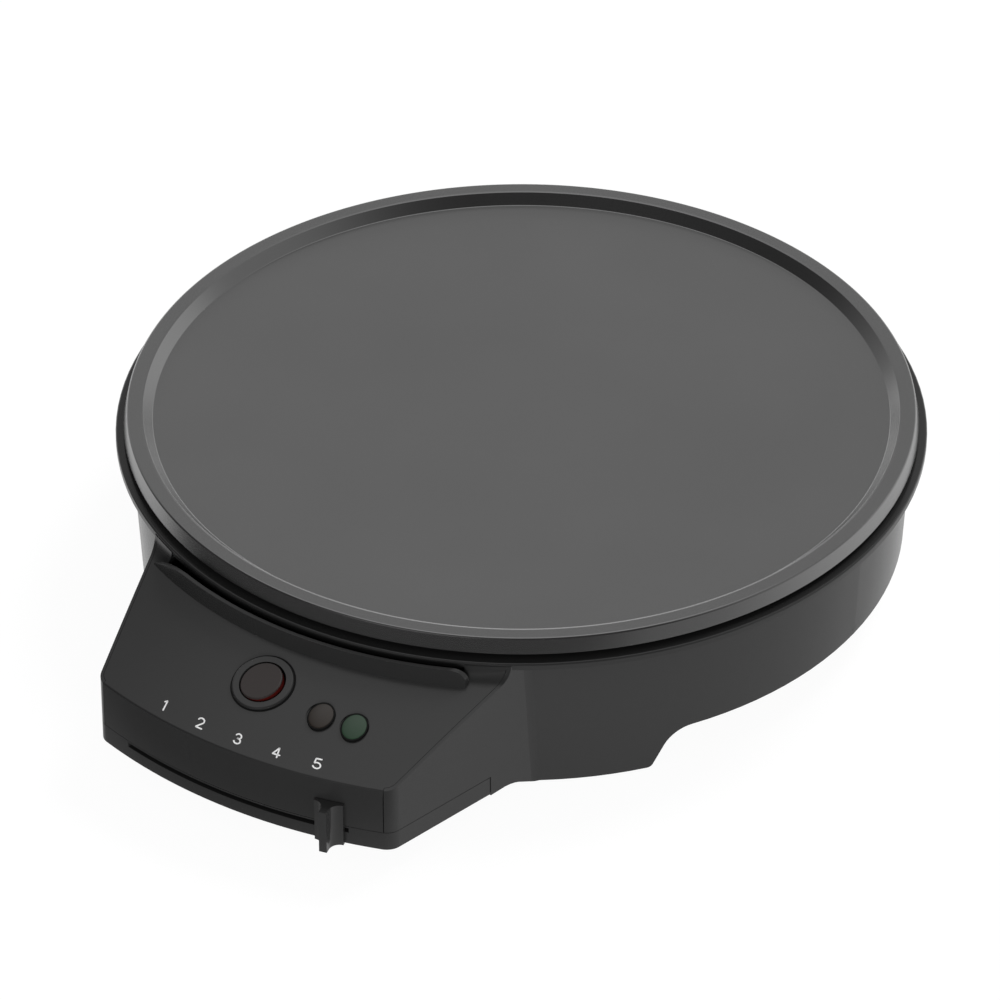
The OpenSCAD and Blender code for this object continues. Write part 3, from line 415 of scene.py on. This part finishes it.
def rounded(corners, radii, count=8):
    # each corner becomes an arc that touches both of its sides: it starts and ends at
    # radius / tan(half the corner's angle) from the corner
    corners = np.array(corners, float)
    pieces = [corners[:1]]
    for before, corner, after, radius in zip(corners, corners[1:], corners[2:], radii):
        back, ahead = before - corner, after - corner
        back, ahead = back / np.hypot(*back), ahead / np.hypot(*ahead)
        half = np.arccos(np.clip(back @ ahead, -1, 1)) / 2
        middle = (back + ahead) / np.hypot(*(back + ahead))
        centre = corner + middle * radius / sin(half)
        sweep = np.linspace(half - pi / 2, pi / 2 - half, count)[:, None]
        across = (ahead - back) / np.hypot(*(ahead - back))
        pieces.append(centre - radius * middle * np.cos(sweep) + radius * across * np.sin(sweep))
    return np.vstack(pieces + [corners[-1:]])


def plateProfile(p):
    # from the axis along the underside, round the skirt, over the rim, down the recess's
    # wall and back to the axis; the chamfer starts where the wall is chamferDrop below the rim
    wall = atan2(p["rimZ"] - p["floorZ"], p["recessTop"] - p["recessFoot"])
    brink = p["recessTop"] - p["chamferDrop"] / tan(wall)
    corners = [(0, p["underZ"]), (p["underReach"], p["underZ"]),
               (p["rimRadius"] - p["skirtThick"], p["skirtZ"] + p["skirtThick"]),
               (p["skirtRadius"] - p["skirtThick"], p["skirtZ"]), (p["skirtRadius"], p["skirtZ"]),
               (p["rimRadius"], p["rimZ"]),
               (brink + p["chamferDrop"] / tan(p["chamferTilt"]), p["rimZ"]),
               (brink, p["rimZ"] - p["chamferDrop"]), (p["recessFoot"], p["floorZ"]),
               (0, p["floorZ"])]
    radii = [p[name] for name in ("underEdge", "skirtFillet", "skirtEdge", "skirtEdge",
                                  "outerEdge", "chamferEdge", "innerEdge", "fillet")]
    return rounded(corners, radii)


def bossProfile(boss, edge, high):
    # a blind bore from below, a small chamfer, then straight up into the plate
    foot, radius = boss["foot"], boss["radius"]
    return np.array([(0, foot + boss["deep"]), (boss["bore"], foot + boss["deep"]),
                     (boss["bore"], foot), (radius - edge, foot), (radius, foot + edge),
                     (radius, high), (0, high)])


def ribProfile(middle, thick, low, high):
    # the four corners of a ring's section, in order round it
    half = thick / 2
    return np.array([(middle - half, high), (middle - half, low), (middle + half, low),
                     (middle + half, high)])


def moved(grid, x=0.0, y=0.0):
    # millimetres from the plate's axis become metres in the frame
    return (grid + np.array([x, y, 0.0])) * maker["millimetre"] + (0, maker["axisY"], 0)


def makePlate(p):
    # the disc, then each boss at (out sin angle, -out cos angle), then a rib on either side
    # of the element's circle
    coat = finishes["nonStickCoat"]
    disc = lathe(backed(plateProfile(p)), p["steps"])
    meshes = [surfaceMesh("disc", moved(disc), coat)]
    top = p["underZ"] + p["sunk"]
    for boss in bosses:
        post = lathe(bossProfile(boss, p["bossEdge"], top), p["bossSteps"])
        for angle in np.radians(boss["angles"]):
            place = boss["out"] * sin(angle), -boss["out"] * cos(angle)
            meshes.append(surfaceMesh("boss", moved(post, *place), coat))
    for side in (-1, 1):
        rib = lathe(ribProfile(p["elementRadius"] + side * p["ribOffset"], p["ribThick"],
                               p["ribZ"], top), p["ribSteps"])
        meshes.append(ringMesh(moved(rib), coat))
    return joinMeshes("cookingPlate", meshes)


addPiece("cookingPlate", makePlate(plate), "base", "coated_plate", "cooking_plate")
print("plate lathed")


# ---- painted shadow ring round the switch ----
# A thin near-black ring round the bezel is painted shade: it stands for the dark shadow line
# round the bezel. Lengths in millimetres.
paintedShadowRing = {"radius": 12.03, "thick": 0.56, "low": -0.5, "high": 0.14, "steps": 120}


def makePaintedShadowRing(s):
    # a lathed near-black ring of painted shade, laid on the panel round the switch
    ring = lathe(ribProfile(s["radius"], s["thick"], s["low"], s["high"]), s["steps"])
    placed = onPanel(ring * maker["millimetre"], rocker["radius"], rocker["angle"])
    return ringMesh(placed, finishes["paintedShadeBlack"])


addPiece("switchPaintedShadowRing", makePaintedShadowRing(paintedShadowRing), "base", "black_rubber")


# ---- lamp lenses ----
# A collar stands round each lens, and the lens is set a little into its top. The collar is near
# black, painted shade for the shadowed side round each proud lens. Both are ovals, tall times as
# long up the slope as across it. Lengths in millimetres.
lens = {"collarRadius": 5.1, "collarWall": 0.52, "rise": 1.0, "neckRadius": 4.25, "neckDrop": 8.0,
        "seatDrop": 0.4, "collarEdge": 0.15, "edgeDrop": 0.3, "lensDrop": 0.6, "bead": 0.35,
        "beadDrop": 0.38, "beadEnd": 80, "crown": 0.4, "crownRings": 9, "edgeRings": 5,
        "tall": 1.18, "steps": 96}

# Each lamp's distance from the plate's axis in metres, its angle, its finish and its slot
lamps = {"power_lens": (0.1805, 7.90, "smokedRed", "amber_lens"),
         "ready_lens": (0.1816, 12.18, "smokedGreen", "green_lens")}


def collarProfile(s):
    # neck, seat, straight wall, small rounded edge, then level across
    wall, top, edge = s["collarRadius"], s["rise"], s["collarEdge"]
    return np.vstack([[(0, -s["neckDrop"]), (s["neckRadius"], -s["neckDrop"]),
                       (s["neckRadius"], -s["seatDrop"]), (wall, -s["seatDrop"])],
                      arc((wall - edge, top - s["edgeDrop"]), edge, 0, 90, s["edgeRings"]),
                      [(wall - s["collarWall"], top - edge), (0, top - edge)]])


def domeProfile(s):
    # a rounded shoulder, then height = shoulder + crown * (1 - (r / shoulder's r)^2)
    inner, foot = s["collarRadius"] - s["collarWall"], s["rise"] - s["lensDrop"]
    bead = arc((inner - s["bead"], s["rise"] - s["beadDrop"]), s["bead"], 0, s["beadEnd"])
    crown = np.linspace(bead[-1, 0], 0, s["crownRings"])[1:, None]
    rise = bead[-1, 1] + s["crown"] * (1 - (crown / bead[-1, 0]) ** 2)
    return np.vstack([[(0, foot), (inner, foot)], bead, np.hstack([crown, rise])])


def lampPart(node, profile, radius, angle, finishName):
    # lathed, stretched up the slope and laid on the panel
    oval = np.array([1.0, lens["tall"], 1.0]) * maker["millimetre"]
    grid = onPanel(lathe(profile, lens["steps"]) * oval, radius, angle)
    return surfaceMesh(node, grid, finishes[finishName])


for node, (radius, angle, finishName, slotName) in lamps.items():
    # the collar's near-black colour is painted shade round the lens
    collar = lampPart(node, collarProfile(lens), radius, angle, "paintedShadeBlack")
    dome = lampPart(node, domeProfile(lens), radius, angle, finishName)
    addPiece(node + "Collar", collar, "base", "switch_plastic")
    addPiece(node + "Dome", dome, "base", slotName, node)
print("lenses set")


# ---- printed numbers ----
# Each number is a set of strokes with round ends, laid on the sloping panel.
# In metres: the circle on which they stand, their height, half a stroke's width, how far
# the print's middle lies above the panel and half its thickness. As shares of the height:
# the middle as drawn, how far they lean and the steps along a stroke. Wide widens them.
scale = {"radius": 0.1981, "angles": (-9.45, -4.55, 0.3, 5.05, 9.75), "height": 0.0040,
         "stroke": 0.00029, "lift": 0.00002, "thick": 0.00008,
         "middle": (0.0, 0.5), "wide": 1.22, "lean": 0.20, "leanChange": 0.008,
         "spacing": 0.02, "endRings": 9, "bowPoints": 24}


def bow(x, y, radius, start, end):
    # a round stretch of a stroke, about (x, y)
    return arc((x, y), radius, start, end, scale["bowPoints"])


def run(*points):
    # straight stretches from point to point
    return np.array(points, float)


strokes = {
    "1": [run((-0.17, 0.80), (0.02, 0.98), (0.02, 0.0))],
    "2": [np.vstack([bow(0, 0.73, 0.27, 165, -38), run((-0.27, 0.0), (0.29, 0.0))])],
    "3": [bow(0, 0.76, 0.235, 160, -95), bow(0, 0.27, 0.27, 95, -160)],
    "4": [run((0.30, 0.27), (-0.29, 0.27), (0.12, 1.0), (0.12, 0.0))],
    "5": [np.vstack([run((0.27, 1.0), (-0.17, 1.0), (-0.23, 0.52)),
                     bow(0, 0.30, 0.30, 118, -155)])],
}


def spread(path, gap, same=1e-6):
    # points at even steps along the path, corners kept; two closer than same become one
    passed = np.concatenate([[0], np.cumsum(np.hypot(*np.diff(path, axis=0).T))])
    at = np.union1d(np.arange(0, passed[-1], gap), passed)
    at = at[np.concatenate([[True], np.diff(at) > same])]
    return np.stack([np.interp(at, passed, path[:, 0]), np.interp(at, passed, path[:, 1])], -1)


def strokeGrid(path, half, low, high):
    # profile along a path: a flat bar whose half width is half * sqrt(1 - t^2) past each end
    path = spread(path, scale["spacing"] * scale["height"])
    heading = np.gradient(path, axis=0)
    heading /= np.hypot(heading[:, 0], heading[:, 1])[:, None]
    side = np.stack([heading[:, 1], -heading[:, 0]], -1)
    t = np.sin(np.linspace(0, pi / 2, scale["endRings"]))[1:]
    width = np.concatenate([np.sqrt(1 - t ** 2)[::-1], np.ones(len(path)), np.sqrt(1 - t ** 2)])
    middle = np.vstack([path[0] - heading[0] * half * t[::-1, None], path,
                        path[-1] + heading[-1] * half * t[:, None]])
    across = np.vstack([np.repeat(side[:1], len(t), 0), side, np.repeat(side[-1:], len(t), 0)])
    reach = across * (half * width)[:, None]
    left, right = middle - reach, middle + reach
    corners = [(left, low), (left, high), (right, high), (right, low)]
    return np.stack([np.column_stack([edge, np.full(len(edge), z)]) for edge, z in corners], 1)


def printNumber(label, angle):
    # the strokes lean, x - lean * y, and the lean shrinks from the first number to the last
    meshes = []
    lean = scale["lean"] - scale["leanChange"] * angle
    for path in strokes[label]:
        path = (path - scale["middle"]) * scale["height"]
        path = np.stack([scale["wide"] * path[:, 0] - lean * path[:, 1], path[:, 1]], -1)
        grid = strokeGrid(path, scale["stroke"],
                          scale["lift"] - scale["thick"], scale["lift"] + scale["thick"])
        # the panel is a cone, so what lies across becomes an angle round the axis
        turned = onPanel(np.dstack([0 * grid[..., 0], grid[..., 1], grid[..., 2]]),
                         scale["radius"], 0)
        bend = radians(angle) + grid[..., 0] / scale["radius"]
        out = maker["axisY"] - turned[..., 1]
        placed = np.stack([out * np.sin(bend), maker["axisY"] - out * np.cos(bend),
                           turned[..., 2]], -1)
        meshes.append(surfaceMesh("number" + label, placed, finishes["scalePrint"]))
    addPiece("number" + label, joinMeshes("number" + label, meshes), "base", "panel_plastic")


for position, angle in enumerate(scale["angles"]):
    printNumber(str(position + 1), angle)
print("scale printed")


# ---- floor, world and lights ----
# The floor and the sky are plain white where they are seen directly. In reflections the floor
# is bright round the object, held a little lower there as a painted shadow of the object,
# brighter behind it on the left, darker at the right, and almost black in front. The sky has a
# glow overhead, a brighter half behind, a card behind on the right and one in front, and a
# bright band low down behind on the left. Within a range a glow changes: with the distance from
# the plate's axis for nearRange, with height for bandHeight, and otherwise with how far a place
# or a direction lies along its way or aim. A pair named glow holds the glows at both ends of such
# a range.
studio = {"floorHalf": 14.0, "floorLevel": 0.82, "floorGlow": 0.95, "floorShade": 0.08,
          # the floor's reflected level round the object, lowered as a painted shadow of the
          # object
          "nearShadowGlow": 0.67, "nearRange": (0.19, 0.24),
          "farWay": (-0.5, 1.0, 0.0), "farRange": (-0.35, 0.10), "farGlow": (0.33, 1.06),
          "frontGlow": 0.09, "frontWay": (-0.15, -1.0, 0.0), "frontRange": (0.15, 0.21),
          "skyLight": 0.35, "skyFront": 0.05,
          "bandAim": (-0.56, 0.83, 0.0), "bandRange": (0.70, 0.97), "bandGlow": 1.3,
          "bandHeight": (0.25, 0.42)}

# Aim, range of agreement and strength of each light patch in the reflected sky
patches = {"overhead": ((-0.15, 0.12, 0.97), (0.80, 1.0), 0.62),
           "halfBehind": ((0.0, 1.0, 0.0), (-0.35, 0.35), 0.42),
           "rightCard": ((0.35, 0.90, 0.26), (0.90, 0.99), 0.5),
           "frontCard": ((0.0, -1.0, 0.35), (0.88, 0.99), 0.32)}

# Place, width in metres and power in watts of each lamp
softLamps = {"backLamp": ((0.35, 1.75, 2.1), 1.3, 54.0),
             "frontFill": ((1.2, -2.2, 0.4), 0.8, 38.0)}


def floorReflection(tree, s):
    # near glow round the object, a painted shadow of it, far glow beyond it, and the front glow
    # over both in front
    place = put(tree, "ShaderNodeTexCoord").outputs["Object"]
    away = worked(tree, "ShaderNodeVectorMath", "DISTANCE", place, (0.0, maker["axisY"], 0.0))
    beyond = ranged(tree, away.outputs["Value"], *s["nearRange"])
    far = ranged(tree, along(tree, place, s["farWay"]), *s["farRange"], *s["farGlow"])
    front = ranged(tree, along(tree, place, s["frontWay"]), *s["frontRange"])
    return mixedNumber(tree, front, mixedNumber(tree, beyond, s["nearShadowGlow"], far), s["frontGlow"])


def makeFloor(s):
    # a camera ray sees near white with a faint shadow, a glossy ray the reflection's levels,
    # and all other rays a pale cloth
    mesh = bpy.data.meshes.new("floor")
    half = s["floorHalf"]
    mesh.from_pydata([(-half, -half, 0), (half, -half, 0), (half, half, 0), (-half, half, 0)],
                     [], [(0, 1, 2, 3)])
    floor = bpy.data.objects.new("floor", mesh)
    bpy.context.collection.objects.link(floor)
    material, tree = newTree("paleFloor")
    path = put(tree, "ShaderNodeLightPath")
    cloth = put(tree, "ShaderNodeBsdfDiffuse", Color=grey(s["floorLevel"]))
    mirrored = put(tree, "ShaderNodeEmission", Color=grey(1.0), Strength=floorReflection(tree, s))
    shade = put(tree, "ShaderNodeBsdfDiffuse", Color=grey(s["floorShade"]))
    white = put(tree, "ShaderNodeEmission", Color=grey(1.0), Strength=s["floorGlow"])
    seen = put(tree, "ShaderNodeAddShader")
    for socket, light in zip(seen.inputs, (shade, white)):
        feed(tree, socket, light.outputs[0])
    lit = mixedShader(tree, path.outputs["Is Glossy Ray"], cloth.outputs[0], mirrored.outputs[0])
    whole = mixedShader(tree, path.outputs["Is Camera Ray"], lit, seen.outputs[0])
    put(tree, "ShaderNodeOutputMaterial", Surface=whole)
    mesh.materials.append(material)


def skyReflection(tree, s):
    # the front's level, plus each patch, plus the band: its fall with height times its aim
    way = put(tree, "ShaderNodeTexCoord").outputs["Generated"]
    total = s["skyFront"]
    for aim, agreement, strength in patches.values():
        agreed = along(tree, way, Vector(aim).normalized())
        glow = ranged(tree, agreed, *agreement, 0.0, strength)
        total = worked(tree, "ShaderNodeMath", "ADD", glow, total).outputs[0]
    up = put(tree, "ShaderNodeSeparateXYZ", Vector=way).outputs["Z"]
    band = ranged(tree, up, *s["bandHeight"], s["bandGlow"], 0.0)
    behind = ranged(tree, along(tree, way, s["bandAim"]), *s["bandRange"])
    return worked(tree, "ShaderNodeMath", "MULTIPLY_ADD", band, behind, total).outputs[0]


def makeWorld(s):
    # a camera ray sees white, a glossy ray the reflection's levels, all others an even light
    world = bpy.data.worlds.new("studioWorld")
    world.use_nodes = True
    tree = world.node_tree
    tree.nodes.clear()
    path = put(tree, "ShaderNodeLightPath")
    direct = worked(tree, "ShaderNodeMath", "MAXIMUM", path.outputs["Is Camera Ray"],
                    path.outputs["Is Transmission Ray"])
    level = mixedNumber(tree, path.outputs["Is Glossy Ray"], s["skyLight"],
                        skyReflection(tree, s))
    level = mixedNumber(tree, direct.outputs[0], level, 1.0)
    sky = put(tree, "ShaderNodeBackground", Color=grey(1.0), Strength=level)
    put(tree, "ShaderNodeOutputWorld", Surface=sky.outputs[0])
    bpy.context.scene.world = world


def softLamp(name, place, size, power):
    # a round lamp that faces the middle of the frame and isn't seen in reflections
    data = bpy.data.lights.new(name, "AREA")
    data.shape, data.size, data.energy = "DISK", size, power
    lamp = bpy.data.objects.new(name, data)
    lamp.location = place
    lamp.visible_glossy = False
    lamp.rotation_euler = (-Vector(place)).to_track_quat("-Z", "Y").to_euler()
    bpy.context.collection.objects.link(lamp)


makeFloor(studio)
makeWorld(studio)
for name, lamp in softLamps.items():
    softLamp(name, *lamp)
print("studio lit")
